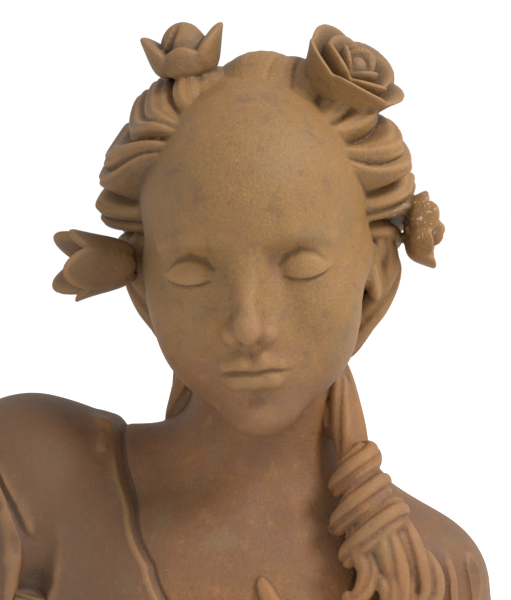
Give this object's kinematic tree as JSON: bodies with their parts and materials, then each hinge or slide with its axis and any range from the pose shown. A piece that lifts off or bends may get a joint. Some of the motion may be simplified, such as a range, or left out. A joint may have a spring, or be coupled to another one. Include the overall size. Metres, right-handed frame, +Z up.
{
  "type": "garden statue bust",
  "caption": "Cast iron garden statue shown as a bust: bowed female head, wavy hair with flowers, a twisted lock over the shoulder and a loose blouse, cut flat below.",
  "frame": {"origin": "on the flat cut underside, below the neck", "axes": "+Z up, +X towards the figure's left shoulder, which is the viewer's right, and -Y the way the face looks"},
  "size_m": [0.3399, 0.2118, 0.3723],
  "materials": {
    "cast_iron": "fine sandy cast surface, matte brown-orange rust with olive-grey and purplish patches"
  },
  "bodies": {
    "root": {"bust": "cast_iron"}
  },
  "joints": []
}
